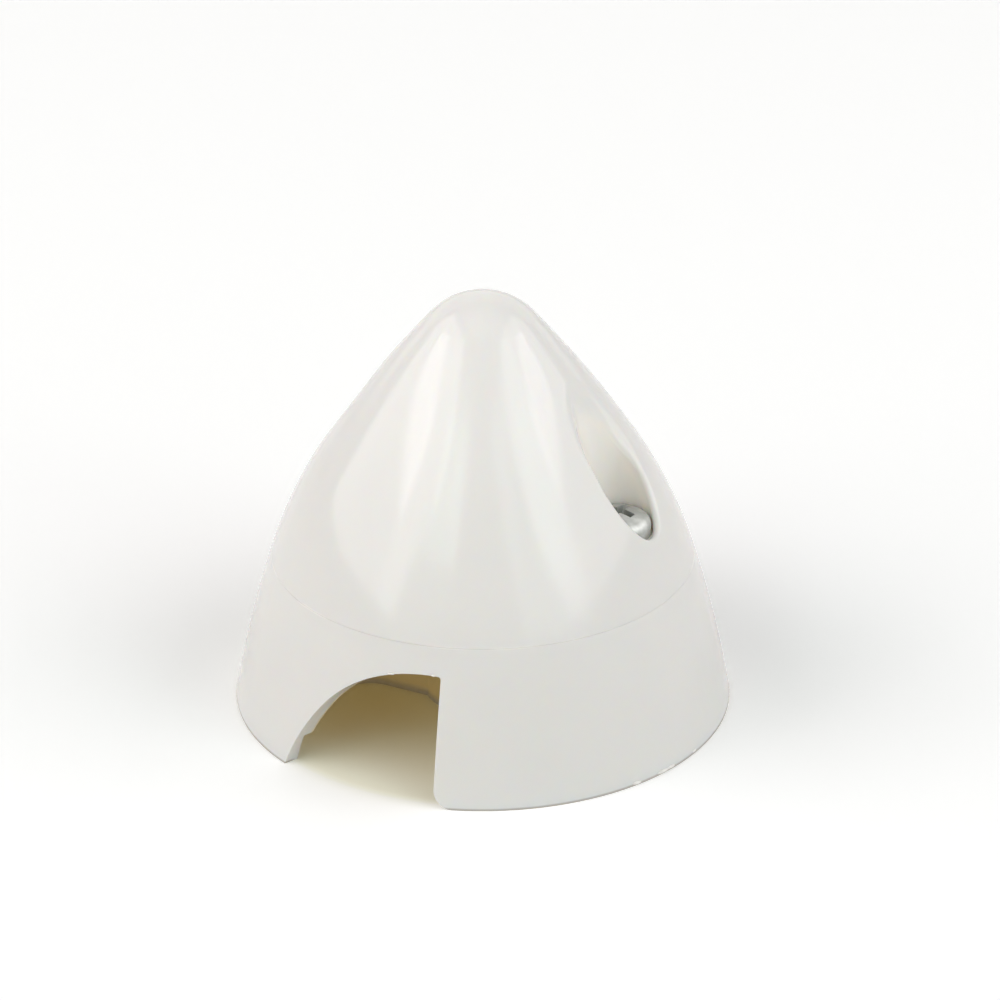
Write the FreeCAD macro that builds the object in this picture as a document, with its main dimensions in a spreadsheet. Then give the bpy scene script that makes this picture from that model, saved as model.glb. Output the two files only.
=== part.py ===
import FreeCAD, Part
import math
import os
import Sketcher

# Two-blade propeller spinner: a moulded nose cone held by two screws on a notched back plate.
# Millimetres. +Z runs to the nose, the origin is on the shaft axis in the rear face,
# the blades leave along -Y and +Y, and the screws stand on the X axis.

doc = FreeCAD.newDocument("propeller_spinner")

# Independent lengths, and angles in degrees
SIZES = {
    # Nose cone
    "base_dia": 45.0,
    "cone_height": 39.1,
    "wall": 1.8,
    "witness_width": 0.14,
    "witness_depth": 0.06,
    # Rebate for the back plate
    "rim_thickness": 1.4,
    "rebate_height": 2.8,
    # Blade opening, by its outlines in a plane outside the cone and in one inside
    "mouth_flank_turn": 47.0,
    "mouth_edge_lean": -1.5,
    "mouth_top_corner": 0.28,
    "mouth_foot_corner": 1.9,
    "throat_flank_turn": 54.2,
    "throat_edge_lean": -1.2,
    "throat_top_corner": 0.25,
    "throat_foot_corner": 1.3,
    # Screw wells and towers
    "head_play": 0.15,
    "well_flare": 1.5,
    "bend_rise": 1.15,
    "well_wall": 1.4,
    "lip_depth": 1.45,
    "seat_thickness": 1.9,
    "tower_radius": 3.0,
    "hole_play": 0.15,
    "well_lip_blend": 0.12,
    "well_top_blend": 8.0,
    # Back plate
    "plate_play": 0.1,
    "bar_half_width": 3.7,
    "notch_corner": 3.0,
    "hub_radius": 5.3,
    "hub_height": 3.6,
    "bore_radius": 3.1,
    "bore_chamfer": 0.4,
    "post_radius": 2.9,
    "thread_play": 0.02,
    "thread_floor": 2.4,
    "gusset_thickness": 1.4,
    "gusset_rise": 5.0,
    "gusset_inset": 3.25,
    # Pan head screws
    "screw_radius": 1.5,
    "thread_end_gap": 0.9,
    "tip_chamfer": 0.5,
    "head_radius": 2.9,
    "head_height": 2.25,
    "head_corner": 0.9,
    "head_dome": 5.6,
    "recess_reach": 1.6,
    "recess_width": 0.8,
    "recess_depth": 1.5,
    "recess_foot_reach": 0.75,
    "recess_foot_width": 0.5,
    "screw_turn_right": -6.0,
    "screw_turn_left": 23.0,
}

# Plain ratios: a level or curve to the cone's height, a lean to its mean slope,
# and a share to the base's diameter
RATIOS = {
    "witness_level": 0.3606,
    "shoulder_level": 0.6061,
    "tower_level": 0.2685,
    "base_lean": 0.3064,
    "witness_lean": 0.5502,
    "shoulder_lean": 1.092,
    "crown_bend": 2.762,
    "screw_share": 0.2989,
    "well_bend_share": 0.17,
    "well_lean_share": 0.78,
    "notch_share": 0.2489,
    "mouth_plane_share": 0.5111,
    "mouth_apex_share": 0.1195,
    "mouth_height_share": 0.2806,
    "mouth_crown_share": 0.326,
    "mouth_flank_share": 0.5529,
    "mouth_edge_share": 0.1453,
    "throat_plane_share": 0.3333,
    "throat_apex_share": 0.106,
    "throat_height_share": 0.2362,
    "throat_crown_share": 0.2354,
    "throat_flank_share": 0.3967,
    "throat_edge_share": 0.0948,
}

# Sizes that follow from the others
RELATIONS = {
    # Ogive: the slopes at three levels, and the arcs between them
    "mean_slope": "base_dia / 2 / cone_height",
    "base_slope": "atan(base_lean * mean_slope)",
    "witness_slope": "atan(witness_lean * mean_slope)",
    "shoulder_slope": "atan(shoulder_lean * mean_slope)",
    "witness_height": "witness_level * cone_height",
    "shoulder_height": "shoulder_level * cone_height",
    "skirt_curve": "witness_height / (sin(witness_slope) - sin(base_slope))",
    "shoulder_curve": "(shoulder_height - witness_height) / (sin(shoulder_slope) - sin(witness_slope))",
    "crown_curve": "crown_bend * cone_height",
    "skirt_centre_x": "base_dia / 2 - skirt_curve * cos(base_slope)",
    "skirt_centre_z": "-skirt_curve * sin(base_slope)",
    "shoulder_centre_x": "skirt_centre_x + (skirt_curve - shoulder_curve) * cos(witness_slope)",
    "shoulder_centre_z": "skirt_centre_z + (skirt_curve - shoulder_curve) * sin(witness_slope)",
    "crown_centre_x": "shoulder_centre_x + (shoulder_curve - crown_curve) * cos(shoulder_slope)",
    "crown_centre_z": "shoulder_centre_z + (shoulder_curve - crown_curve) * sin(shoulder_slope)",
    "crown_drop": "cone_height - crown_centre_z",
    "nose_curve": "(crown_centre_x ^ 2 + crown_drop ^ 2 - crown_curve ^ 2) / 2 / (crown_drop - crown_curve)",
    # Blade opening and notches, seen along Y
    "mouth_plane": "mouth_plane_share * base_dia",
    "mouth_apex": "mouth_apex_share * base_dia",
    "mouth_height": "mouth_height_share * base_dia",
    "mouth_crown": "mouth_crown_share * base_dia",
    "mouth_flank": "mouth_flank_share * base_dia",
    "mouth_edge": "mouth_edge_share * base_dia",
    "throat_plane": "throat_plane_share * base_dia",
    "throat_apex": "throat_apex_share * base_dia",
    "throat_height": "throat_height_share * base_dia",
    "throat_crown": "throat_crown_share * base_dia",
    "throat_flank": "throat_flank_share * base_dia",
    "throat_edge": "throat_edge_share * base_dia",
    "notch_reach": "notch_share * base_dia",
    # Screws: the seat lies below the lip, where the well's wall leaves the shoulder
    "screw_offset": "screw_share * base_dia",
    "well_radius": "head_radius + head_play",
    "clearance_hole": "screw_radius + hole_play",
    "tower_foot": "tower_level * cone_height",
    "lip_inset": "screw_offset + well_radius - shoulder_centre_x",
    "lip_height": "shoulder_centre_z + sqrt(shoulder_curve ^ 2 - lip_inset ^ 2)",
    "seat_height": "lip_height - lip_depth",
    "well_bend": "well_bend_share * cone_height / mean_slope ^ 2",
    "well_lean": "well_lean_share * shoulder_slope",
    "well_straight": "shoulder_height + bend_rise - seat_height",
    "bend_height": "seat_height + well_straight",
    "bend_reach": "well_radius + well_straight * tan(well_flare) + well_bend * cos(well_flare)",
    "bend_centre_z": "bend_height - well_bend * sin(well_flare)",
    "screw_length": "seat_height - thread_floor - thread_end_gap",
    "gusset_run": "base_dia / 2 - gusset_inset - screw_offset - post_radius",
}

sheet = doc.addObject("Spreadsheet::Sheet", "sizes")
contents = {**SIZES, **RATIOS, **{alias: f"={formula}" for alias, formula in RELATIONS.items()}}
for row, alias in enumerate(contents, start=1):
    sheet.set(f"A{row}", alias)
    sheet.setAlias(f"B{row}", alias)
for row, value in enumerate(contents.values(), start=1):
    sheet.set(f"B{row}", str(value))
doc.recompute()


def size(alias):
    value = sheet.get(alias)
    return float(getattr(value, "Value", value))


def cell(alias):
    return f"sizes.{alias}"


def angle(alias):
    return math.radians(size(alias))


# Sketch helpers

def vec(x, y, z=0.0):
    return FreeCAD.Vector(x, y, z)


def new_body(label):
    body = doc.addObject("PartDesign::Body", label)
    body.Label = label
    return body


def new_sketch(body, name, role, height=None):
    """A sketch on one of the body's own origin planes, lifted along its normal by an expression."""
    sketch = body.newObject("Sketcher::SketchObject", name)
    plane = next(f for f in body.Origin.OriginFeatures if f.Role == role)
    sketch.AttachmentSupport = (plane, "")
    sketch.MapMode = "FlatFace"
    if height:
        sketch.setExpression("AttachmentOffset.Base.z", height)
    return sketch


def dimension(sketch, name, kind, refs, value, expression):
    """A named dimension whose value follows the sheet. Lengths along X or Y are kept positive."""
    index = sketch.addConstraint(Sketcher.Constraint(kind, *refs, value))
    sketch.renameConstraint(index, name)
    sketch.setExpression(f"Constraints.{name}", expression)


def relate(sketch, kind, *refs):
    sketch.addConstraint(Sketcher.Constraint(kind, *refs))


def polyline(sketch, points, closed=True):
    """Straight lines through the points, joined end to end."""
    ends = points[1:] + points[:1] if closed else points[1:]
    lines = [sketch.addGeometry(Part.LineSegment(a, b)) for a, b in zip(points, ends)]
    for first, second in zip(lines, lines[1:]):
        relate(sketch, "Coincident", first, 2, second, 1)
    if closed:
        relate(sketch, "Coincident", lines[-1], 2, lines[0], 1)
    return lines


def arc(sketch, centre, radius, start, end):
    circle = Part.Circle(centre, vec(0, 0, 1), radius)
    return sketch.addGeometry(Part.ArcOfCircle(circle, start, end))


def circle_on_axis(sketch, name, offset, radius, offset_expression, radius_expression):
    """A full circle whose centre stands on the sketch's X axis."""
    ring = sketch.addGeometry(Part.Circle(vec(offset, 0), vec(0, 0, 1), radius))
    relate(sketch, "PointOnObject", ring, 3, -1)
    if offset_expression:
        dimension(sketch, f"{name}_offset", "DistanceX", (-1, 1, ring, 3), offset, offset_expression)
    else:
        relate(sketch, "PointOnObject", ring, 3, -2)
    dimension(sketch, f"{name}_radius", "Radius", (ring,), radius, radius_expression)
    return ring


def half_turn_pair(body, name, feature):
    """Repeats a feature half a turn round the shaft axis."""
    pattern = body.newObject("PartDesign::PolarPattern", name)
    pattern.Originals = [feature]
    axis = next(f for f in body.Origin.OriginFeatures if f.Role == "Z_Axis")
    pattern.Axis = (axis, [""])
    pattern.Angle = 360
    pattern.Occurrences = 2
    body.Tip = pattern
    doc.recompute()
    return pattern


def pad(body, name, sketch, length_expression):
    feature = body.newObject("PartDesign::Pad", name)
    feature.Profile = sketch
    feature.setExpression("Length", length_expression)
    doc.recompute()
    return feature


def cut_through(body, name, sketch, backwards=False):
    feature = body.newObject("PartDesign::Pocket", name)
    feature.Profile = sketch
    feature.Type = "ThroughAll"
    feature.Reversed = backwards
    doc.recompute()
    return feature


def turn(body, kind, name, sketch, axis):
    """A Revolution or a Groove of the sketch, all the way round."""
    feature = body.newObject(f"PartDesign::{kind}", name)
    feature.Profile = sketch
    feature.ReferenceAxis = (sketch, [axis])
    feature.Angle = 360
    doc.recompute()
    return feature


# The ogive: three arcs and a nose arc, each tangent to the next

def ogive_centres():
    """Centres of the skirt, shoulder, crown and nose arcs."""
    centres = [vec(size(f"{name}_centre_x"), size(f"{name}_centre_z")) for name in ("skirt", "shoulder", "crown")]
    return centres + [vec(0, size("cone_height") - size("nose_curve"))]


def ogive_arcs(sketch, inset, inset_expression, foot):
    """The four arcs of the ogive, moved inwards by the inset, from the height of the foot to the axis."""
    skirt, shoulder, crown, nose = ogive_centres()
    witness_turn = angle("witness_slope")
    shoulder_turn = angle("shoulder_slope")
    toward_crown = nose - crown
    crown_turn = math.atan2(toward_crown.y, toward_crown.x)
    start = math.asin((foot - skirt.y) / (size("skirt_curve") - inset))
    arcs = [
        arc(sketch, skirt, size("skirt_curve") - inset, start, witness_turn),
        arc(sketch, shoulder, size("shoulder_curve") - inset, witness_turn, shoulder_turn),
        arc(sketch, crown, size("crown_curve") - inset, shoulder_turn, crown_turn),
        arc(sketch, nose, size("nose_curve") - inset, crown_turn, math.pi / 2),
    ]
    for lower, upper in zip(arcs, arcs[1:]):
        relate(sketch, "Tangent", lower, 2, upper, 1)
    skirt_arc, shoulder_arc, _, nose_arc = arcs
    less = f" - {inset_expression}" if inset_expression else ""
    dimension(sketch, "skirt_centre_x", "DistanceX", (skirt_arc, 3, -1, 1), -skirt.x,
              f"-{cell('skirt_centre_x')}")
    dimension(sketch, "skirt_centre_z", "DistanceY", (skirt_arc, 3, -1, 1), -skirt.y,
              f"-{cell('skirt_centre_z')}")
    dimension(sketch, "skirt_radius", "Radius", (skirt_arc,), size("skirt_curve") - inset,
              cell("skirt_curve") + less)
    dimension(sketch, "skirt_top", "DistanceY", (-1, 1, skirt_arc, 2),
              size("witness_height") - inset * math.sin(witness_turn),
              cell("witness_height") + (f"{less} * sin({cell('witness_slope')})" if less else ""))
    dimension(sketch, "shoulder_radius", "Radius", (shoulder_arc,), size("shoulder_curve") - inset,
              cell("shoulder_curve") + less)
    dimension(sketch, "shoulder_top", "DistanceY", (-1, 1, shoulder_arc, 2),
              size("shoulder_height") - inset * math.sin(shoulder_turn),
              cell("shoulder_height") + (f"{less} * sin({cell('shoulder_slope')})" if less else ""))
    relate(sketch, "PointOnObject", nose_arc, 3, -2)
    relate(sketch, "PointOnObject", nose_arc, 2, -2)
    dimension(sketch, "nose_radius", "Radius", (nose_arc,), size("nose_curve") - inset,
              cell("nose_curve") + less)
    dimension(sketch, "nose_top", "DistanceY", (-1, 1, nose_arc, 2), size("cone_height") - inset,
              cell("cone_height") + less)
    return arcs


def skirt_x(height, inset=0.0):
    """Distance from the axis to the skirt arc at a height."""
    skirt = ogive_centres()[0]
    radius = size("skirt_curve") - inset
    return skirt.x + math.sqrt(radius ** 2 - (height - skirt.y) ** 2)


def close_profile(sketch, arcs, corners):
    """Straight lines from the axis at the base to the foot of the arcs, and back down the axis."""
    foot = polyline(sketch, corners, closed=False)
    relate(sketch, "Coincident", foot[0], 1, -1, 1)
    relate(sketch, "Coincident", foot[-1], 2, arcs[0], 1)
    top = vec(0, corners[0].y)
    axis = sketch.addGeometry(Part.LineSegment(sketch.Geometry[arcs[-1]].EndPoint, top))
    relate(sketch, "Coincident", arcs[-1], 2, axis, 1)
    relate(sketch, "Coincident", axis, 2, foot[0], 1)
    return foot


# The space inside the nose cone, less the screw wells' walls and the screw towers

def build_hollow():
    body = new_body("hollow")
    sketch = new_sketch(body, "hollow_profile", "XZ_Plane")
    inset = size("wall")
    rebate_radius = size("base_dia") / 2 - size("rim_thickness")
    arcs = ogive_arcs(sketch, inset, cell("wall"), size("rebate_height"))
    corners = [
        vec(0, 0),
        vec(rebate_radius, 0),
        vec(rebate_radius, size("rebate_height")),
        vec(skirt_x(size("rebate_height"), inset), size("rebate_height")),
    ]
    base, step, ledge = close_profile(sketch, arcs, corners)
    relate(sketch, "Horizontal", base)
    relate(sketch, "Vertical", step)
    relate(sketch, "Horizontal", ledge)
    dimension(sketch, "rebate_radius", "DistanceX", (base, 1, base, 2), rebate_radius,
              f"{cell('base_dia')} / 2 - {cell('rim_thickness')}")
    dimension(sketch, "rebate_height", "DistanceY", (step, 1, step, 2), size("rebate_height"),
              cell("rebate_height"))
    turn(body, "Revolution", "hollow_turned", sketch, "V_Axis")

    wall = new_sketch(body, "well_wall_profile", "XZ_Plane")
    well_wall_profile(wall)
    wall_cut = turn(body, "Groove", "well_wall", wall, "Axis0")
    half_turn_pair(body, "well_walls", wall_cut)

    tower = new_sketch(body, "tower_outline", "XY_Plane", cell("tower_foot"))
    circle_on_axis(tower, "tower", size("screw_offset"), size("tower_radius"), cell("screw_offset"),
                   cell("tower_radius"))
    tower_cut = cut_through(body, "tower", tower, backwards=True)
    half_turn_pair(body, "towers", tower_cut)
    return body


# The blade opening seen along Y: a crown arc, a longer flank arc, and a steep edge with rounded ends.
# It narrows inwards, so its cut faces stand square to the shell.

def opening_outline(sketch, plane):
    """The opening's outline in the mouth plane or in the throat plane."""
    crown_curve = size(f"{plane}_crown")
    flank_curve = size(f"{plane}_flank")
    apex = vec(size(f"{plane}_apex"), size(f"{plane}_height"))
    join = angle(f"{plane}_flank_turn")
    crown_centre = apex - vec(0, crown_curve)
    toward_join = vec(-math.sin(join), math.cos(join))
    flank_centre = crown_centre + toward_join * (crown_curve - flank_curve)
    flank_foot = math.pi - math.asin(-flank_centre.y / flank_curve)

    # The steep edge leans inwards from its foot on the base plane
    lean = angle(f"{plane}_edge_lean")
    edge_foot = vec(size(f"{plane}_edge"), 0)
    along = vec(-math.sin(lean), math.cos(lean))
    inwards = vec(-math.cos(lean), -math.sin(lean))
    corner = size(f"{plane}_top_corner")
    offset = edge_foot + inwards * corner - crown_centre
    reach = crown_curve - corner
    half = offset.dot(along)
    climb = -half + math.sqrt(half ** 2 - offset.dot(offset) + reach ** 2)
    corner_centre = edge_foot + inwards * corner + along * climb
    toward_corner = corner_centre - crown_centre
    corner_turn = math.atan2(toward_corner.y, toward_corner.x)

    foot_radius = size(f"{plane}_foot_corner")
    rise = (foot_radius - foot_radius * math.sin(lean)) / math.cos(lean)
    foot_centre = edge_foot + along * rise - inwards * foot_radius
    edge_top = corner_centre - inwards * corner
    edge_low = foot_centre + inwards * foot_radius

    crown = arc(sketch, crown_centre, crown_curve, corner_turn, math.pi / 2 + join)
    flank = arc(sketch, flank_centre, flank_curve, math.pi / 2 + join, flank_foot)
    top = arc(sketch, corner_centre, corner, lean, corner_turn)
    edge = sketch.addGeometry(Part.LineSegment(edge_low, edge_top))
    foot = arc(sketch, foot_centre, foot_radius, math.pi + lean, 1.5 * math.pi)
    flank_end = vec(flank_centre.x - math.sqrt(flank_curve ** 2 - flank_centre.y ** 2), 0)
    base = sketch.addGeometry(Part.LineSegment(flank_end, vec(foot_centre.x, 0)))
    stem = sketch.addGeometry(Part.LineSegment(crown_centre, apex), True)

    relate(sketch, "Tangent", crown, 2, flank, 1)
    relate(sketch, "Tangent", top, 2, crown, 1)
    relate(sketch, "Tangent", edge, 2, top, 1)
    relate(sketch, "Tangent", foot, 1, edge, 1)
    relate(sketch, "Coincident", flank, 2, base, 1)
    relate(sketch, "Tangent", base, 2, foot, 2)
    relate(sketch, "PointOnObject", flank, 2, -1)
    relate(sketch, "Horizontal", base)
    relate(sketch, "Coincident", stem, 1, crown, 3)
    relate(sketch, "PointOnObject", stem, 2, crown)
    relate(sketch, "Vertical", stem)
    dimension(sketch, "apex_offset", "DistanceX", (-1, 1, stem, 2), apex.x, cell(f"{plane}_apex"))
    dimension(sketch, "apex_height", "DistanceY", (-1, 1, stem, 2), apex.y, cell(f"{plane}_height"))
    dimension(sketch, "crown_radius", "Radius", (crown,), crown_curve, cell(f"{plane}_crown"))
    dimension(sketch, "flank_radius", "Radius", (flank,), flank_curve, cell(f"{plane}_flank"))
    dimension(sketch, "flank_centre_offset", "DistanceX", (crown, 3, flank, 3),
              flank_centre.x - crown_centre.x,
              f"({cell(f'{plane}_flank')} - {cell(f'{plane}_crown')}) * sin({cell(f'{plane}_flank_turn')})")
    dimension(sketch, "top_corner", "Radius", (top,), corner, cell(f"{plane}_top_corner"))
    dimension(sketch, "foot_corner", "Radius", (foot,), foot_radius, cell(f"{plane}_foot_corner"))
    dimension(sketch, "edge_turn", "Angle", (-1, 1, edge, 1), math.pi / 2 + lean,
              f"90 + {cell(f'{plane}_edge_lean')}")
    dimension(sketch, "foot_centre_offset", "DistanceX", (-1, 1, foot, 3), foot_centre.x,
              f"{cell(f'{plane}_edge')} + {cell(f'{plane}_foot_corner')}"
              f" * (1 - sin({cell(f'{plane}_edge_lean')})) / cos({cell(f'{plane}_edge_lean')})")


# The screw well: clearance hole, flat seat, and a wall that rises straight and then bends outwards
# towards the slope of the cone, turned about the screw's axis

def bend_and_run(sketch, radius, radius_expression, start_turn):
    """The wall's bend and the straight run above it, up to the cone's height, with the lid to the axis."""
    axis_x = size("screw_offset")
    lean = angle("well_lean")
    top = size("cone_height")
    centre = vec(axis_x - size("bend_reach"), size("bend_centre_z"))
    run_low = centre + vec(math.cos(lean), math.sin(lean)) * radius
    run_top = vec(run_low.x - (top - run_low.y) * math.tan(lean), top)
    bend = arc(sketch, centre, radius, start_turn, lean)
    run, lid = polyline(sketch, [run_low, run_top, vec(axis_x, top)], closed=False)
    relate(sketch, "Tangent", bend, 2, run, 1)
    relate(sketch, "Horizontal", lid)
    dimension(sketch, "bend_radius", "Radius", (bend,), radius, radius_expression)
    dimension(sketch, "run_turn", "Angle", (-1, 1, run, 1), math.pi / 2 + lean, f"90 deg + {cell('well_lean')}")
    dimension(sketch, "top_height", "DistanceY", (-1, 1, lid, 1), top, cell("cone_height"))
    return bend, lid


def place_on_screw_axis(sketch, floor, bend, lid, height, height_expression):
    """Ties the floor, the bend's centre and the lid to the screw's axis, which closes the profile."""
    axis_x = size("screw_offset")
    close = sketch.addGeometry(Part.LineSegment(vec(axis_x, size("cone_height")), vec(axis_x, height)))
    axis = sketch.addGeometry(Part.LineSegment(vec(axis_x, height), vec(axis_x, size("cone_height"))), True)
    relate(sketch, "Coincident", lid, 2, close, 1)
    relate(sketch, "Coincident", close, 2, floor, 1)
    relate(sketch, "Coincident", axis, 1, floor, 1)
    relate(sketch, "Coincident", axis, 2, lid, 2)
    relate(sketch, "Vertical", axis)
    relate(sketch, "Horizontal", floor)
    dimension(sketch, "axis_offset", "DistanceX", (-1, 1, floor, 1), axis_x, cell("screw_offset"))
    dimension(sketch, "foot_height", "DistanceY", (-1, 1, floor, 1), height, height_expression)
    dimension(sketch, "bend_reach", "DistanceX", (bend, 3, floor, 1), size("bend_reach"), cell("bend_reach"))
    dimension(sketch, "bend_centre_z", "DistanceY", (-1, 1, bend, 3), size("bend_centre_z"),
              cell("bend_centre_z"))


def well_profile(sketch):
    axis_x = size("screw_offset")
    inner = axis_x - size("clearance_hole")
    wall_foot = axis_x - size("well_radius")
    foot = size("tower_foot") / 2
    seat = size("seat_height")
    wall_top = wall_foot - size("well_straight") * math.tan(angle("well_flare"))
    points = [
        vec(axis_x, foot),
        vec(inner, foot),
        vec(inner, seat),
        vec(wall_foot, seat),
        vec(wall_top, size("bend_height")),
    ]
    floor, hole, ledge, wall = polyline(sketch, points, closed=False)
    bend, lid = bend_and_run(sketch, size("well_bend"), cell("well_bend"), angle("well_flare"))
    relate(sketch, "Tangent", wall, 2, bend, 1)
    relate(sketch, "Vertical", hole)
    relate(sketch, "Horizontal", ledge)
    place_on_screw_axis(sketch, floor, bend, lid, foot, f"{cell('tower_foot')} / 2")
    dimension(sketch, "hole_radius", "DistanceX", (floor, 2, floor, 1), size("clearance_hole"),
              cell("clearance_hole"))
    dimension(sketch, "seat_height", "DistanceY", (-1, 1, ledge, 1), seat, cell("seat_height"))
    dimension(sketch, "well_radius", "DistanceX", (wall, 1, floor, 1), size("well_radius"),
              cell("well_radius"))


def well_wall_profile(sketch):
    """The outside of the well's wall, inside the cone: the well's bend moved out by the wall."""
    axis_x = size("screw_offset")
    radius = size("well_bend") - size("well_wall")
    outside = axis_x - size("bend_reach") + radius
    foot = size("seat_height") - size("seat_thickness")
    points = [vec(axis_x, foot), vec(outside, foot), vec(outside, size("bend_centre_z"))]
    floor, wall = polyline(sketch, points, closed=False)
    bend, lid = bend_and_run(sketch, radius, f"{cell('well_bend')} - {cell('well_wall')}", 0)
    relate(sketch, "Tangent", wall, 2, bend, 1)
    relate(sketch, "Vertical", wall)
    place_on_screw_axis(sketch, floor, bend, lid, foot, f"{cell('seat_height')} - {cell('seat_thickness')}")


def well_wall_radius(height):
    """Distance from the screw's axis to the well's wall at a height above the seat."""
    lean = angle("well_lean")
    over_centre = height - size("bend_centre_z")
    bend_top = size("well_bend") * math.sin(lean)
    if height < size("bend_height"):
        return size("well_radius") + (height - size("seat_height")) * math.tan(angle("well_flare"))
    if over_centre < bend_top:
        return size("bend_reach") - math.sqrt(size("well_bend") ** 2 - over_centre ** 2)
    run = (over_centre - bend_top) * math.tan(lean)
    return size("bend_reach") - size("well_bend") * math.cos(lean) + run


def witness_groove(sketch):
    """A shallow V on the line where the mould's halves meet."""
    surface = skirt_x(size("witness_height"))
    half = size("witness_width") / 2
    height = size("witness_height")
    clear = size("witness_width")
    points = [
        vec(surface + clear, height - half),
        vec(surface + clear, height + half),
        vec(surface - size("witness_depth"), height),
    ]
    outer, upper, lower = polyline(sketch, points)
    relate(sketch, "Vertical", outer)
    relate(sketch, "Equal", upper, lower)
    radius = f"({cell('skirt_centre_x')} + {cell('skirt_curve')} * cos({cell('witness_slope')}))"
    dimension(sketch, "groove_width", "DistanceY", (outer, 1, outer, 2), 2 * half, cell("witness_width"))
    dimension(sketch, "groove_height", "DistanceY", (-1, 1, lower, 1), height, cell("witness_height"))
    dimension(sketch, "groove_bottom", "DistanceX", (-1, 1, lower, 1), points[2].x,
              f"{radius} - {cell('witness_depth')}")
    dimension(sketch, "groove_mouth", "DistanceX", (-1, 1, outer, 1), points[0].x,
              f"{radius} + {cell('witness_width')}")


def mouth_edges(shape, side):
    """The edges where one well's wall leaves the outside, each with its number and both ends."""
    axis_x = side * size("screw_offset")
    chosen = []
    for number, edge in enumerate(shape.Edges, start=1):
        first, middle, last = (edge.valueAt(p) for p in (
            edge.FirstParameter, (edge.FirstParameter + edge.LastParameter) / 2, edge.LastParameter))
        points = (first, middle, last)
        on_wall = all(
            p.z > size("seat_height") - 1e-3
            and abs(math.hypot(p.x - axis_x, p.y) - well_wall_radius(p.z)) < 1e-3
            for p in points
        )
        # Rings round the wall and the seam that runs up it are no part of the mouth
        ring = max(p.z for p in points) - min(p.z for p in points) < 1e-3
        seam = all(abs(p.y) < 1e-4 for p in points)
        if on_wall and not ring and not seam:
            chosen.append((number, first, last))
    return chosen


def blend_chain(edges):
    """The mouth's edges as the blend runs round them, each with its radii where it starts and ends."""
    number, _, here = edges[0]
    chain = [(number, blend_radius(edges[0][1].z), blend_radius(here.z))]
    left = edges[1:]
    while left:
        step = min(left, key=lambda e: min(e[1].distanceToPoint(here), e[2].distanceToPoint(here)))
        left.remove(step)
        number, first, last = step
        start, end = (first, last) if first.distanceToPoint(here) < last.distanceToPoint(here) else (last, first)
        chain.append((number, blend_radius(start.z), blend_radius(end.z)))
        here = end
    return chain


def blend_radius(height):
    """The mouth's blend is small at the lip and grows ever faster towards the top of the well."""
    share = (height - size("lip_height")) / (size("cone_height") - size("lip_height"))
    low, high = size("well_lip_blend"), size("well_top_blend")
    return low + (high - low) * max(0.0, share) ** 2


def build_nose_cone(hollow):
    body = new_body("cone_blank")
    sketch = new_sketch(body, "cone_profile", "YZ_Plane")
    arcs = ogive_arcs(sketch, 0.0, "", 0.0)
    base, = close_profile(sketch, arcs, [vec(0, 0), vec(size("base_dia") / 2, 0)])
    relate(sketch, "Horizontal", base)
    turn(body, "Revolution", "cone_turned", sketch, "V_Axis")

    hollowed = body.newObject("PartDesign::Boolean", "hollowed")
    hollowed.setObjects([hollow])
    hollowed.Type = "Cut"
    body.Tip = hollowed
    doc.recompute()

    outlines = []
    for plane in ("mouth", "throat"):
        outline = new_sketch(body, f"opening_{plane}", "XZ_Plane", cell(f"{plane}_plane"))
        opening_outline(outline, plane)
        outlines.append(outline)
    opening = body.newObject("PartDesign::SubtractiveLoft", "blade_opening")
    opening.Profile, opening.Sections = outlines[0], outlines[1:]
    opening.Ruled = True
    doc.recompute()
    half_turn_pair(body, "blade_openings", opening)

    well = new_sketch(body, "well_profile", "XZ_Plane")
    well_profile(well)
    well_cut = turn(body, "Groove", "screw_well", well, "Axis0")
    half_turn_pair(body, "screw_wells", well_cut)

    witness = new_sketch(body, "witness_profile", "XZ_Plane")
    witness_groove(witness)
    body.Tip = turn(body, "Groove", "witness_line", witness, "V_Axis")
    doc.recompute()

    blend = doc.addObject("Part::Fillet", "nose_cone")
    blend.Label = "nose_cone"
    blend.Base = body
    blend.Edges = [entry for side in (1, -1) for entry in blend_chain(mouth_edges(body.Shape, side))]
    doc.recompute()
    return blend


# Back plate: a disc in the cone's rebate, cut back for the blades, with the hub and two screw posts

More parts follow.
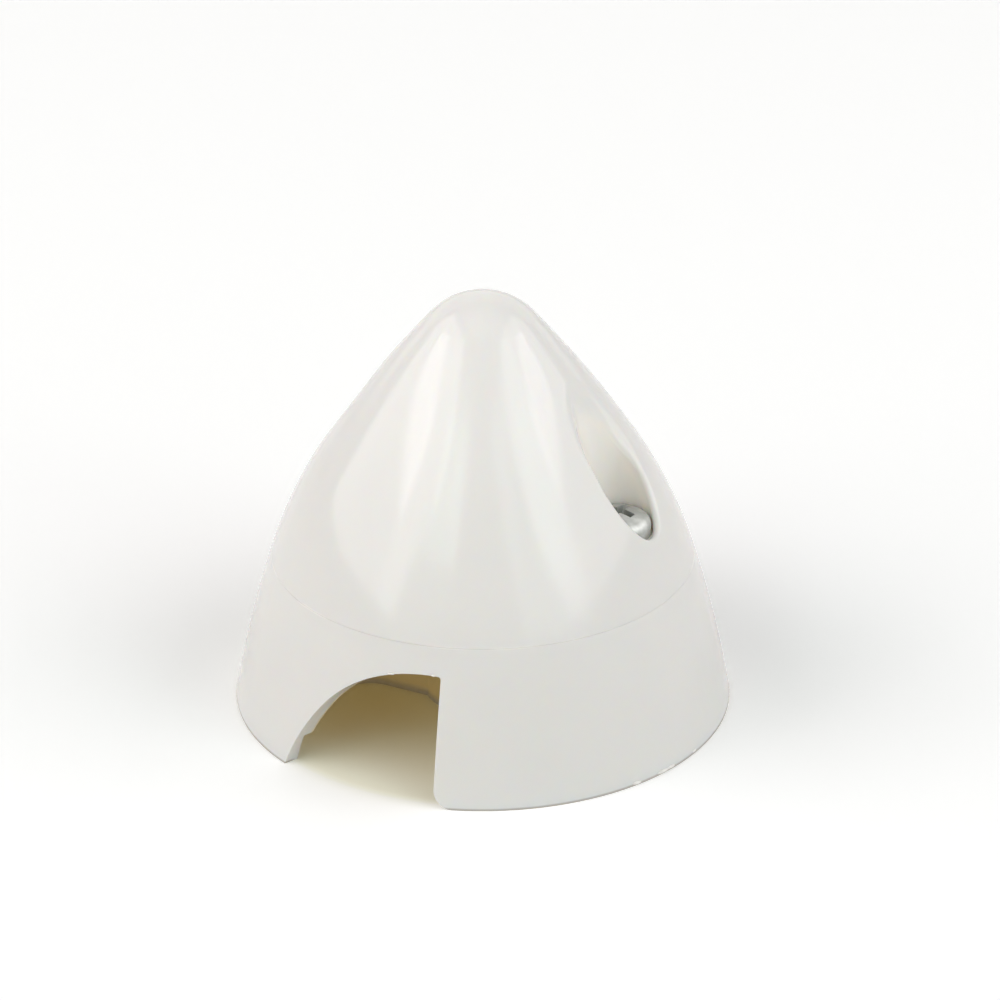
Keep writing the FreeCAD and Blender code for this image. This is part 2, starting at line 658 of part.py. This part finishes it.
def build_back_plate():
    body = new_body("back_plate")
    disc = new_sketch(body, "disc_outline", "XY_Plane")
    rim = size("base_dia") / 2 - size("rim_thickness") - size("plate_play")
    circle_on_axis(disc, "rim", 0, rim, "",
                   f"{cell('base_dia')} / 2 - {cell('rim_thickness')} - {cell('plate_play')}")
    pad(body, "disc", disc, cell("rebate_height"))

    notch = new_sketch(body, "notch_outline", "XY_Plane")
    notch_outline(notch)
    notch_cut = cut_through(body, "blade_notch", notch, backwards=True)
    half_turn_pair(body, "blade_notches", notch_cut)

    hub = new_sketch(body, "hub_outline", "XY_Plane")
    circle_on_axis(hub, "hub", 0, size("hub_radius"), "", cell("hub_radius"))
    pad(body, "hub", hub, cell("hub_height"))

    post = new_sketch(body, "post_outline", "XY_Plane")
    circle_on_axis(post, "post", size("screw_offset"), size("post_radius"), cell("screw_offset"),
                   cell("post_radius"))
    post_pad = pad(body, "screw_post", post, cell("tower_foot"))
    half_turn_pair(body, "screw_posts", post_pad)

    gusset = new_sketch(body, "gusset_outline", "XZ_Plane")
    gusset_outline(gusset)
    gusset_pad = pad(body, "gusset", gusset, cell("gusset_thickness"))
    gusset_pad.SideType = "Symmetric"
    doc.recompute()
    half_turn_pair(body, "gussets", gusset_pad)

    thread = new_sketch(body, "thread_outline", "XY_Plane", cell("thread_floor"))
    circle_on_axis(thread, "thread", size("screw_offset"), size("screw_radius") + size("thread_play"),
                   cell("screw_offset"), f"{cell('screw_radius')} + {cell('thread_play')}")
    thread_cut = cut_through(body, "thread_hole", thread, backwards=True)
    half_turn_pair(body, "thread_holes", thread_cut)

    bore = new_sketch(body, "bore_outline", "XY_Plane")
    circle_on_axis(bore, "bore", 0, size("bore_radius"), "", cell("bore_radius"))
    bore_cut = cut_through(body, "shaft_bore", bore, backwards=True)

    chamfer = body.newObject("PartDesign::Chamfer", "bore_mouths")
    chamfer.Base = (bore_cut, bore_mouths(bore_cut.Shape))
    chamfer.setExpression("Size", cell("bore_chamfer"))
    body.Tip = chamfer
    doc.recompute()
    return body


def bore_mouths(shape):
    """The two rims of the shaft bore."""
    names = []
    for number, edge in enumerate(shape.Edges, start=1):
        round_edge = isinstance(edge.Curve, Part.Circle)
        if round_edge and abs(edge.Curve.Radius - size("bore_radius")) < 1e-6:
            names.append(f"Edge{number}")
    return names


def notch_outline(sketch):
    """A blade notch: open at the rim, with rounded inner corners, on the -Y side."""
    reach = size("notch_reach")
    bar = size("bar_half_width")
    corner = size("notch_corner")
    outside = size("base_dia")
    mouth = sketch.addGeometry(Part.LineSegment(vec(reach, -outside), vec(-reach, -outside)))
    left = sketch.addGeometry(Part.LineSegment(vec(-reach, -outside), vec(-reach, -bar - corner)))
    left_round = arc(sketch, vec(corner - reach, -bar - corner), corner, math.pi / 2, math.pi)
    floor = sketch.addGeometry(Part.LineSegment(vec(corner - reach, -bar), vec(reach - corner, -bar)))
    right_round = arc(sketch, vec(reach - corner, -bar - corner), corner, 0, math.pi / 2)
    right = sketch.addGeometry(Part.LineSegment(vec(reach, -bar - corner), vec(reach, -outside)))
    relate(sketch, "Coincident", mouth, 2, left, 1)
    relate(sketch, "Tangent", left, 2, left_round, 2)
    relate(sketch, "Tangent", left_round, 1, floor, 1)
    relate(sketch, "Tangent", floor, 2, right_round, 2)
    relate(sketch, "Tangent", right_round, 1, right, 1)
    relate(sketch, "Coincident", right, 2, mouth, 1)
    relate(sketch, "Horizontal", floor)
    relate(sketch, "Vertical", left)
    relate(sketch, "Vertical", right)
    relate(sketch, "Symmetric", mouth, 1, mouth, 2, -2)
    dimension(sketch, "notch_width", "DistanceX", (mouth, 2, mouth, 1), 2 * reach,
              f"2 * {cell('notch_reach')}")
    dimension(sketch, "bar_half_width", "DistanceY", (floor, 1, -1, 1), bar, cell("bar_half_width"))
    dimension(sketch, "left_corner", "Radius", (left_round,), corner, cell("notch_corner"))
    dimension(sketch, "right_corner", "Radius", (right_round,), corner, cell("notch_corner"))
    dimension(sketch, "mouth_offset", "DistanceY", (mouth, 1, -1, 1), outside, cell("base_dia"))


def gusset_outline(sketch):
    """A triangle that props the post from outside, rooted in the post and in the disc."""
    root = size("screw_offset") + size("post_radius") / 2
    run = size("post_radius") / 2 + size("gusset_run")
    low = size("rebate_height") / 2
    rise = size("rebate_height") / 2 + size("gusset_rise")
    points = [
        vec(root, low),
        vec(root + run, low),
        vec(root + run, size("rebate_height")),
        vec(root, low + rise),
    ]
    floor, toe, slope, root_line = polyline(sketch, points)
    relate(sketch, "Horizontal", floor)
    relate(sketch, "Vertical", toe)
    relate(sketch, "Vertical", root_line)
    dimension(sketch, "root_offset", "DistanceX", (-1, 1, floor, 1), root,
              f"{cell('screw_offset')} + {cell('post_radius')} / 2")
    dimension(sketch, "run", "DistanceX", (floor, 1, floor, 2), run,
              f"{cell('post_radius')} / 2 + {cell('gusset_run')}")
    dimension(sketch, "floor_height", "DistanceY", (-1, 1, floor, 1), low, f"{cell('rebate_height')} / 2")
    dimension(sketch, "toe_height", "DistanceY", (-1, 1, toe, 2), size("rebate_height"),
              cell("rebate_height"))
    dimension(sketch, "root_height", "DistanceY", (-1, 1, slope, 2), low + rise,
              f"{cell('rebate_height')} + {cell('gusset_rise')}")


# Pan head screws with a cross recess. Each is built with its seat at z = 0 and set down in its well.

def screw_profile(sketch):
    shank = size("screw_radius")
    length = size("screw_length")
    tip = size("tip_chamfer")
    head = size("head_radius")
    corner = size("head_corner")
    dome = size("head_dome")
    height = size("head_height")
    dome_centre = vec(0, height - dome)
    corner_x = head - corner
    corner_centre = vec(corner_x, dome_centre.y + math.sqrt((dome - corner) ** 2 - corner_x ** 2))
    toward_corner = corner_centre - dome_centre
    dome_turn = math.atan2(toward_corner.y, toward_corner.x)
    points = [
        vec(0, -length),
        vec(shank - tip, -length),
        vec(shank, tip - length),
        vec(shank, 0),
        vec(head, 0),
        vec(head, corner_centre.y),
    ]
    end, bevel, side, seat, rim = polyline(sketch, points, closed=False)
    corner_arc = arc(sketch, corner_centre, corner, 0, dome_turn)
    dome_arc = arc(sketch, dome_centre, dome, dome_turn, math.pi / 2)
    axis = sketch.addGeometry(Part.LineSegment(vec(0, height), points[0]))
    relate(sketch, "Tangent", rim, 2, corner_arc, 1)
    relate(sketch, "Tangent", corner_arc, 2, dome_arc, 1)
    relate(sketch, "Coincident", dome_arc, 2, axis, 1)
    relate(sketch, "Coincident", axis, 2, end, 1)
    relate(sketch, "PointOnObject", end, 1, -2)
    relate(sketch, "PointOnObject", dome_arc, 2, -2)
    relate(sketch, "PointOnObject", dome_arc, 3, -2)
    relate(sketch, "PointOnObject", seat, 1, -1)
    for line in (end, seat):
        relate(sketch, "Horizontal", line)
    for line in (side, rim):
        relate(sketch, "Vertical", line)
    dimension(sketch, "length", "DistanceY", (end, 1, -1, 1), length, cell("screw_length"))
    dimension(sketch, "shank_radius", "DistanceX", (-1, 1, side, 1), shank, cell("screw_radius"))
    dimension(sketch, "tip_run", "DistanceX", (bevel, 1, bevel, 2), tip, cell("tip_chamfer"))
    dimension(sketch, "tip_rise", "DistanceY", (bevel, 1, bevel, 2), tip, cell("tip_chamfer"))
    dimension(sketch, "head_radius", "DistanceX", (-1, 1, seat, 2), head, cell("head_radius"))
    dimension(sketch, "corner_radius", "Radius", (corner_arc,), corner, cell("head_corner"))
    dimension(sketch, "dome_radius", "Radius", (dome_arc,), dome, cell("head_dome"))
    dimension(sketch, "head_height", "DistanceY", (-1, 1, dome_arc, 2), height, cell("head_height"))


def cross_outline(sketch, reach_alias, width_alias):
    """A plus sign, by its arms' reach and width."""
    reach = size(reach_alias)
    half = size(width_alias) / 2
    quarter = [vec(reach, -half), vec(reach, half), vec(half, half)]
    points = []
    for step in range(4):
        turned = FreeCAD.Rotation(vec(0, 0, 1), 90 * step)
        points.extend(turned.multVec(p) for p in quarter)
    lines = polyline(sketch, points)
    for number, point in enumerate(points):
        for kind, value in (("DistanceX", point.x), ("DistanceY", point.y)):
            far = abs(abs(value) - reach) < 1e-9
            expression = cell(reach_alias) if far else f"{cell(width_alias)} / 2"
            start, end = (-1, 1), (lines[number], 1)
            refs = start + end if value > 0 else end + start
            dimension(sketch, f"{kind.lower()}_{number}", kind, refs, abs(value), expression)


def build_screw(label, side, turn_alias):
    body = new_body(label)
    profile = new_sketch(body, f"{label}_profile", "XZ_Plane")
    screw_profile(profile)
    turn(body, "Revolution", f"{label}_turned", profile, "V_Axis")
    mouth = new_sketch(body, f"{label}_recess_mouth", "XY_Plane", cell("head_height"))
    cross_outline(mouth, "recess_reach", "recess_width")
    foot = new_sketch(body, f"{label}_recess_foot", "XY_Plane",
                      f"{cell('head_height')} - {cell('recess_depth')}")
    cross_outline(foot, "recess_foot_reach", "recess_foot_width")
    recess = body.newObject("PartDesign::SubtractiveLoft", f"{label}_recess")
    recess.Profile = mouth
    recess.Sections = [foot]
    recess.Ruled = True
    body.Tip = recess
    body.setExpression("Placement.Base.x", f"{side} * {cell('screw_offset')}")
    body.setExpression("Placement.Base.z", cell("seat_height"))
    body.setExpression("Placement.Rotation.Angle", cell(turn_alias))
    doc.recompute()
    return body


hollow_body = build_hollow()
parts = [
    build_nose_cone(hollow_body),
    build_back_plate(),
    build_screw("cone_screw_right", 1, "screw_turn_right"),
    build_screw("cone_screw_left", -1, "screw_turn_left"),
]
doc.recompute()

# Every object must have been made, and every sub-part must be one valid solid
failed = [o.Name for o in doc.Objects if "Invalid" in o.State or "Error" in o.State]
if failed:
    raise RuntimeError(f"objects that failed: {failed}")
for part in parts:
    shape = part.Shape
    if shape.isNull() or not shape.isValid() or len(shape.Solids) != 1:
        raise RuntimeError(f"{part.Label} is not one valid solid")

os.makedirs("parts", exist_ok=True)
for part in parts:
    part.Shape.exportStep(os.path.join("parts", f"{part.Label}.step"))
    print(part.Label, round(part.Shape.Volume, 2))
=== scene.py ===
import math

import bpy
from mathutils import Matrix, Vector


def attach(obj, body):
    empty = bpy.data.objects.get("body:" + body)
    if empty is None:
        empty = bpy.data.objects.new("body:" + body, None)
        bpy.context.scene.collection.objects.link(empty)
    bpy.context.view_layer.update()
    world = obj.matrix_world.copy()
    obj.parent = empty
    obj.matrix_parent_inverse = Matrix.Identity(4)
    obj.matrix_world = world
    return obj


# Dress of the two-blade propeller spinner: a glossy moulded nose cone, its back plate
# and screws, on a pale table under soft studio light. Metres, in the frame of the part.

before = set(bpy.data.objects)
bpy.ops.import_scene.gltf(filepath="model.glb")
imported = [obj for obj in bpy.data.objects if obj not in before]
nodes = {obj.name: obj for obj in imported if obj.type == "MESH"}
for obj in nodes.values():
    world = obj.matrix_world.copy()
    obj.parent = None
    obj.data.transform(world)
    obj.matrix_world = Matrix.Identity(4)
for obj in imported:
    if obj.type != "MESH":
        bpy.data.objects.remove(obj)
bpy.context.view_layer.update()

MM = 0.001

# Camera, as the photograph was taken
CAMERA_TURN = 27.0
CAMERA_LIFT = 26.3
CAMERA_DISTANCE = 0.4029
CAMERA_AIM = (1.379 * MM, 0.703 * MM, 19.06 * MM)
CAMERA_LENS = 162.0
CAMERA_SENSOR = 36.0
CAMERA_CLIP_NEAR = 0.01
CAMERA_CLIP_FAR = 20.0

# Lamps: turn from the camera to its right, lift, angular width and height in degrees,
# glow, tint
LAMPS = {
    "softbox_left": (-79, 38, 34, 11, 2.6, (1.0, 0.935, 0.945)),
    "softbox_right": (80, 38, 32, 11, 2.3, (1.0, 0.935, 0.965)),
    "window_left": (-28, 37, 18, 20, 1.3, (0.7, 1.0, 0.9)),
    "window_right": (47, 32, 17, 26, 0.7, (0.68, 1.0, 0.88)),
    "wall_left": (-82, 35, 70, 48, 1.7, (1.0, 0.985, 0.99)),
    "wall_right": (80, 35, 70, 48, 1.38, (1.0, 0.97, 0.985)),
    "wall_front_left": (-40, 30, 40, 45, 0.7, (1.0, 0.96, 0.92)),
    "wall_front_right": (40, 30, 40, 45, 1.05, (0.88, 0.98, 0.99)),
    "wall_front": (0, 28, 40, 45, 0.3, (1.0, 0.92, 0.94)),
    "wall_back": (180, 25, 90, 40, 0.4, (1.0, 1.0, 0.88)),
    "ceiling": (0, 86, 42, 42, 0.15, (1.0, 0.99, 0.98)),
}
LAMP_DISTANCE = 2.2
ROOM_GLOW = 0.03
ROOM_TINT = (1.0, 0.995, 0.985)
TABLE_RADIUS = 3.0
TABLE_CORNERS = 96
TABLE_COLOUR = (0.68, 0.68, 0.675)
TABLE_COLOUR_SEEN = (1.165, 1.165, 1.16)

# The cone's outline: its radius at the foot, and how it leans in with the height
OUTLINE_RADIUS = 22.43 * MM
OUTLINE_LEAN = 0.1548
OUTLINE_BEND = 0.00433 / MM
OUTLINE_CURL = 0.0001295 / MM ** 2

# The screws' reach from the axis, and the heights of their seats and the witness line
SCREW_REACH = 13.45 * MM
SEAT_HEIGHT = 18.7 * MM
WITNESS_HEIGHT = 14.1 * MM

# Where the colours and the painted light and shade change: each pair is where a change starts
# and where it is complete
TIP_RISE = (22 * MM, 38 * MM)
SEAT_RISE = (SEAT_HEIGHT - 1.2 * MM, SEAT_HEIGHT)
WELL_REACH = (4.4 * MM, 3.5 * MM)
WELL_SURROUND = (5.6 * MM, 4.6 * MM)
WELL_DEPTH = (0.3 * MM, 1.5 * MM)
HOLLOW_DEPTH = (1.45 * MM, 2.0 * MM)
HOLLOW_TOP = (36 * MM, 32 * MM)
WITNESS_EDGE = (0.16 * MM, 0.07 * MM)
FOOT_RISE = (0.27 * MM, 0.06 * MM)
FOOT_DEPTH = (1.2 * MM, 0.5 * MM)
PLATE_RISE = (0.2 * MM, 1.0 * MM)
UNDER_CONE = (23 * MM, 20.5 * MM)

# Colours of the plastics and the plating, and of the painted light on the tip, in the screw
# wells and along the witness line, and of the painted contact shadow on the foot
BLACK = (0.0, 0.0, 0.0)
CONE_COLOURS = ((0.815, 0.795, 0.762), (0.80, 0.785, 0.752))
TIP_PAINTED_LIGHT_COLOUR = (0.88, 0.86, 0.83)
WELL_PAINTED_LIGHT_COLOUR = (0.93, 0.89, 0.825)
WITNESS_PAINTED_LIGHT_COLOUR = (0.95, 0.93, 0.88)
FOOT_PAINTED_SHADOW_COLOUR = (0.48, 0.40, 0.32)
FLASH_COLOURS = ((0.93, 0.91, 0.87), (0.86, 0.83, 0.78))
PLATE_COLOURS = ((0.74, 0.71, 0.65), (0.71, 0.68, 0.62))
ZINC_COLOURS = ((0.48, 0.49, 0.47), (0.38, 0.39, 0.37))

# Shares of the painted light on the tip and along the witness line, and of the painted contact
# shadow on the foot
TIP_PAINTED_LIGHT_SHARE = 0.6
WITNESS_PAINTED_LIGHT_SHARE = 0.5
FOOT_PAINTED_SHADOW_SHARE = 0.8

# Painted light for the light that comes through the wall into the hollow: a warm colour and a
# glow on the inner faces, and painted shade with a warm tint on the table under the cone
HOLLOW_PAINTED_LIGHT_COLOUR = (0.76, 0.60, 0.28)
HOLLOW_PAINTED_GLOW_COLOUR = (1.0, 0.84, 0.42)
HOLLOW_PAINTED_GLOW = 0.07
TABLE_PAINTED_LIGHT_TINT = (0.84, 0.83, 0.71)

# Light that spreads under the cone's skin
SPREAD_SHARE = 0.35
SPREAD_REACH = (1.0, 0.62, 0.3)
SPREAD_DISTANCE = 1.6 * MM
GLOSS_IOR = 1.49
MATT_IOR = 1.5

# Mould flash on the rim and over the front mouth, in degrees and millimetres:
# turn, radius, height, length, thickness and rise
FLASH = (
    (64.2, 22.46, 0.21, 0.95, 0.40, 0.32),
    (72.2, 22.46, 0.21, 1.50, 0.40, 0.32),
    (74.9, 22.44, 0.21, 1.00, 0.34, 0.32),
    (84.0, 22.36, 0.22, 0.75, 0.34, 0.32),
    (3.3, 19.82, 11.25, 0.75, 0.26, 0.16),
    (14.6, 19.72, 11.64, 0.45, 0.24, 0.16),
)
FLASH_RAGGEDNESS = 0.12


# Shader writing

class Value:
    """A number that runs over the surface: an output socket with the usual operators."""

    def __init__(self, graph, socket):
        self.graph = graph
        self.socket = socket

    def maths(self, operation, *operands):
        settings = {"operation": operation}
        return self.graph.value("ShaderNodeMath", settings, dict(enumerate(operands)))

    def __add__(self, other):
        return self.maths("ADD", self, other)

    __radd__ = __add__

    def __mul__(self, other):
        return self.maths("MULTIPLY", self, other)

    __rmul__ = __mul__

    def __sub__(self, other):
        return self.maths("SUBTRACT", self, other)

    def __rsub__(self, other):
        return self.maths("SUBTRACT", other, self)

    def __abs__(self):
        return self.maths("ABSOLUTE", self)

    def __pow__(self, other):
        return self.maths("POWER", self, other)

    def ramp(self, start, end):
        """0 up to start, 1 beyond end, smooth in between. The end may be the lower one."""
        settings = {"interpolation_type": "SMOOTHSTEP"}
        return self.graph.value("ShaderNodeMapRange", settings, {0: self, 1: start, 2: end})


class Graph:
    """The node tree of a material, or of the world."""

    def __init__(self, name, world=False):
        kind = "World" if world else "Material"
        self.owner = (bpy.data.worlds if world else bpy.data.materials).new(name)
        self.owner.use_nodes = True
        self.tree = self.owner.node_tree
        self.tree.nodes.clear()
        self.output = self.node("ShaderNodeOutput" + kind)

    def node(self, kind, settings=None, inputs=None):
        made = self.tree.nodes.new(kind)
        for key, setting in (settings or {}).items():
            setattr(made, key, setting)
        for key, given in (inputs or {}).items():
            socket = made.inputs[key]
            if isinstance(given, Value):
                given = given.socket
            if isinstance(given, bpy.types.NodeSocket):
                self.tree.links.new(given, socket)
            elif socket.type == "RGBA":
                socket.default_value = (*given, 1.0)
            else:
                socket.default_value = given
        return made

    def value(self, kind, settings=None, inputs=None):
        return Value(self, self.node(kind, settings, inputs).outputs[0])

    def place(self):
        return self.node("ShaderNodeTexCoord").outputs["Object"]

    def coordinates(self):
        """The three coordinates over the part, in metres."""
        made = self.node("ShaderNodeSeparateXYZ", None, {0: self.place()})
        return [Value(self, socket) for socket in made.outputs]

    def noise(self, scale, detail=2.0):
        """Soft noise around one half, with features of about one over the scale, in metres."""
        inputs = {"Vector": self.place(), "Scale": scale, "Detail": detail}
        return self.value("ShaderNodeTexNoise", None, inputs)

    def mix(self, factor, first, second):
        """A colour between two others."""
        inputs = {0: factor, 6: first, 7: second}
        return self.node("ShaderNodeMix", {"data_type": "RGBA"}, inputs).outputs[2]

    def bump(self, height, distance, after=None):
        inputs = {"Height": height, "Distance": distance}
        if after is not None:
            inputs["Normal"] = after
        return self.node("ShaderNodeBump", None, inputs).outputs[0]

    def seen_directly(self):
        """1 for what the camera sees, also in a reflection or through glass, and 0 for
        light that is scattered."""
        path = self.node("ShaderNodeLightPath")
        camera, glossy, through = (Value(self, path.outputs["Is %s Ray" % way])
                                   for way in ("Camera", "Glossy", "Transmission"))
        return camera + glossy + through

    def close(self, surface):
        self.tree.links.new(surface.outputs[0], self.output.inputs["Surface"])
        return self.owner

    def finish(self, inputs):
        return self.close(self.node("ShaderNodeBsdfPrincipled", None, inputs))


# Finishes

def gloss_plastic():
    """Glossy off-white moulded plastic. Its hollow has a painted warm colour and a painted
    glow for the light that comes through the wall; the tip, the screw wells and the witness
    line have painted light, and the foot a painted contact shadow.
    """
    graph = Graph("gloss_white_plastic")
    x, y, z = graph.coordinates()
    clouds = graph.noise(90.0)
    grain = graph.noise(1400.0, 3.0)
    skin = graph.mix(clouds.ramp(0.3, 0.7), *CONE_COLOURS)
    # Painted light: the skin grows paler towards the tip
    skin = graph.mix(TIP_PAINTED_LIGHT_SHARE * z.ramp(*TIP_RISE), skin, TIP_PAINTED_LIGHT_COLOUR)

    lean = OUTLINE_LEAN + z * (OUTLINE_BEND + OUTLINE_CURL * z)
    depth = OUTLINE_RADIUS - z * lean - (x * x + y * y) ** 0.5
    from_screw = ((abs(x) - SCREW_REACH) ** 2 + y * y) ** 0.5
    above_seat = z.ramp(*SEAT_RISE)
    # Painted light: the insides of the screw wells are paler and warmer, against their shade
    painted_well_light = above_seat * from_screw.ramp(*WELL_REACH) * depth.ramp(*WELL_DEPTH)
    near_well = above_seat * from_screw.ramp(*WELL_SURROUND)
    # The hollow mask carries a painted warm colour and a painted glow, standing for light that
    # comes through the wall
    hollow = depth.ramp(*HOLLOW_DEPTH) * z.ramp(*HOLLOW_TOP) * (1.0 - near_well)
    skin = graph.mix(hollow, skin, HOLLOW_PAINTED_LIGHT_COLOUR)
    skin = graph.mix(painted_well_light, skin, WELL_PAINTED_LIGHT_COLOUR)

    # Painted light: paler patches along the witness line, against the shade of its groove
    patches = graph.noise(150.0, 1.0).ramp(0.42, 0.6)
    witness = abs(z - WITNESS_HEIGHT).ramp(*WITNESS_EDGE) * patches
    skin = graph.mix(WITNESS_PAINTED_LIGHT_SHARE * witness, skin, WITNESS_PAINTED_LIGHT_COLOUR)
    # Painted shadow: a dark brown band along the foot of the rim, where the cone meets the
    # table
    foot = z.ramp(*FOOT_RISE) * depth.ramp(*FOOT_DEPTH)
    skin = graph.mix(FOOT_PAINTED_SHADOW_SHARE * foot, skin, FOOT_PAINTED_SHADOW_COLOUR)

    swell = graph.bump(graph.noise(260.0, 1.0), 0.02 * MM)
    return graph.finish({
        "Base Color": skin,
        "Roughness": 0.1 + 0.05 * grain + 0.25 * hollow,
        "Normal": graph.bump(grain, 0.0012 * MM, after=swell),
        "IOR": GLOSS_IOR,
        # Painted glow of the hollow
        "Emission Color": graph.mix(hollow, BLACK, HOLLOW_PAINTED_GLOW_COLOUR),
        "Emission Strength": HOLLOW_PAINTED_GLOW,
        "Subsurface Weight": SPREAD_SHARE,
        "Subsurface Radius": SPREAD_REACH,
        "Subsurface Scale": SPREAD_DISTANCE,
    })


def flash_plastic():
    """The torn white skin of mould flash."""
    graph = Graph("torn_white_plastic")
    grain = graph.noise(2600.0)
    return graph.finish({
        "Base Color": graph.mix(grain.ramp(0.3, 0.7), *FLASH_COLOURS),
        "Roughness": 0.3 + 0.2 * grain,
        "IOR": GLOSS_IOR,
    })


def plate_plastic():
    """Matt off-white moulded plastic of the back plate, with a painted warm colour and a
    painted glow on its faces higher up, inside the hollow.
    """
    graph = Graph("matt_white_plastic")
    height = graph.coordinates()[2]
    grain = graph.noise(2200.0, 3.0)
    clouds = graph.noise(120.0)
    colour = graph.mix(clouds.ramp(0.3, 0.7), *PLATE_COLOURS)
    # Painted light: a warm colour and a glow on the plate's upper faces in the hollow
    inside = height.ramp(*PLATE_RISE)
    return graph.finish({
        "Base Color": graph.mix(inside, colour, HOLLOW_PAINTED_LIGHT_COLOUR),
        "Emission Color": graph.mix(inside, BLACK, HOLLOW_PAINTED_GLOW_COLOUR),
        "Emission Strength": HOLLOW_PAINTED_GLOW,
        "Roughness": 0.42 + 0.12 * grain,
        "Normal": graph.bump(grain, 0.01 * MM),
        "IOR": MATT_IOR,
    })


def zinc_steel():
    """Satin zinc-plated steel with faint clouding."""
    graph = Graph("zinc_plated_steel")
    clouds = graph.noise(900.0, 3.0)
    return graph.finish({
        "Base Color": graph.mix(clouds.ramp(0.35, 0.65), *ZINC_COLOURS),
        "Metallic": 1.0,
        "Roughness": 0.46 + 0.16 * clouds,
        "Normal": graph.bump(graph.noise(4200.0), 0.004 * MM),
    })


def pale_table():
    """The pale surface under the part. It is seen as white, and lights the part as pale
    grey. Under the cone its seen colour is darker and warm: painted shade with a painted
    warm tint, for the light that comes through the cone's wall."""
    graph = Graph("pale_table")
    x, y, _ = graph.coordinates()
    # Painted shade with a warm tint: the seen colour is darker and warmer under the cone
    under = ((x * x + y * y) ** 0.5).ramp(*UNDER_CONE)
    warm = tuple(seen * tint for seen, tint in zip(TABLE_COLOUR_SEEN, TABLE_PAINTED_LIGHT_TINT))
    colour = graph.mix(under, TABLE_COLOUR_SEEN, warm)
    lit = graph.node("ShaderNodeBsdfDiffuse", None, {"Color": TABLE_COLOUR})
    shown = graph.node("ShaderNodeBsdfDiffuse", None, {"Color": colour})
    inputs = {0: graph.seen_directly(), 1: lit.outputs[0], 2: shown.outputs[0]}
    return graph.close(graph.node("ShaderNodeMixShader", None, inputs))


def dress(name, material):
    slots = nodes[name].data.materials
    slots.clear()
    slots.append(material)


# Mould flash

def flash_sliver(turn, radius, height, length, thickness, rise):
    """A ragged sliver that lies along the cone's surface, sunk in it by half."""
    turn = math.radians(turn)
    place = Vector((math.sin(turn) * radius, -math.cos(turn) * radius, height)) * MM
    bpy.ops.object.select_all(action="DESELECT")
    bpy.ops.mesh.primitive_ico_sphere_add(
        subdivisions=2, radius=0.5, location=place, rotation=(0, 0, turn))
    sliver = bpy.context.object
    sliver.scale = (length * MM, thickness * MM, rise * MM)
    bpy.ops.object.transform_apply(location=True, rotation=True, scale=True)
    bpy.ops.object.mode_set(mode="EDIT")
    bpy.ops.mesh.select_all(action="SELECT")
    bpy.ops.transform.vertex_random(
        offset=FLASH_RAGGEDNESS * thickness * MM, seed=int(10 * radius))
    bpy.ops.object.mode_set(mode="OBJECT")
    return sliver


def mould_flash():
    slivers = [flash_sliver(*size) for size in FLASH]
    for sliver in slivers:
        sliver.select_set(True)
    bpy.context.view_layer.objects.active = slivers[0]
    bpy.ops.object.join()
    flash = bpy.context.object
    flash.name = "mould_flash"
    flash.data.materials.append(flash_plastic())
    bpy.ops.object.shade_smooth()
    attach(flash, "root")


# Stage

def direction(turn, lift):
    """From the part towards a point that stands turned right of the camera, and lifted."""
    turn = math.radians(turn + CAMERA_TURN)
    lift = math.radians(lift)
    flat = math.cos(lift)
    return Vector((math.sin(turn) * flat, -math.cos(turn) * flat, math.sin(lift)))


def add_aimed(name, data, toward, place):
    """Stands a camera or lamp at a place, turned back against the direction."""
    made = bpy.data.objects.new(name, data)
    bpy.context.scene.collection.objects.link(made)
    made.location = place
    made.rotation_euler = (-toward).to_track_quat("-Z", "Y").to_euler()
    return made


def place_camera():
    data = bpy.data.cameras.new("camera")
    data.lens = CAMERA_LENS
    data.sensor_width = CAMERA_SENSOR
    data.clip_start = CAMERA_CLIP_NEAR
    data.clip_end = CAMERA_CLIP_FAR
    toward = direction(0, CAMERA_LIFT)
    place = Vector(CAMERA_AIM) + toward * CAMERA_DISTANCE
    bpy.context.scene.camera = add_aimed("camera", data, toward, place)


def hang_lamp(name, turn, lift, width, height, glow, tint):
    """A rectangle of even light that covers the given angles as seen from the part."""
    data = bpy.data.lights.new(name, "AREA")
    data.shape = "RECTANGLE"
    data.size = 2 * LAMP_DISTANCE * math.tan(math.radians(width / 2))
    data.size_y = 2 * LAMP_DISTANCE * math.tan(math.radians(height / 2))
    data.energy = glow * math.pi * data.size * data.size_y
    data.color = tint
    toward = direction(turn, lift)
    add_aimed(name, data, toward, toward * LAMP_DISTANCE)


def light_room():
    """Faint even light from all round, seen as plain white."""
    graph = Graph("room", world=True)
    strength = ROOM_GLOW + (1.0 - ROOM_GLOW) * graph.seen_directly()
    inputs = {"Color": ROOM_TINT, "Strength": strength}
    bpy.context.scene.world = graph.close(graph.node("ShaderNodeBackground", None, inputs))


def lay_table():
    bpy.ops.mesh.primitive_circle_add(
        vertices=TABLE_CORNERS, radius=TABLE_RADIUS, fill_type="NGON")
    table = bpy.context.object
    table.name = "table"
    table.data.materials.append(pale_table())


bpy.ops.object.select_all(action="DESELECT")
bpy.context.scene.view_settings.view_transform = "Standard"
place_camera()
light_room()
for name, box in LAMPS.items():
    hang_lamp(name, *box)
lay_table()

dress("nose_cone", gloss_plastic())
dress("back_plate", plate_plastic())
steel = zinc_steel()
for screw in ("cone_screw_right", "cone_screw_left"):
    dress(screw, steel)
mould_flash()
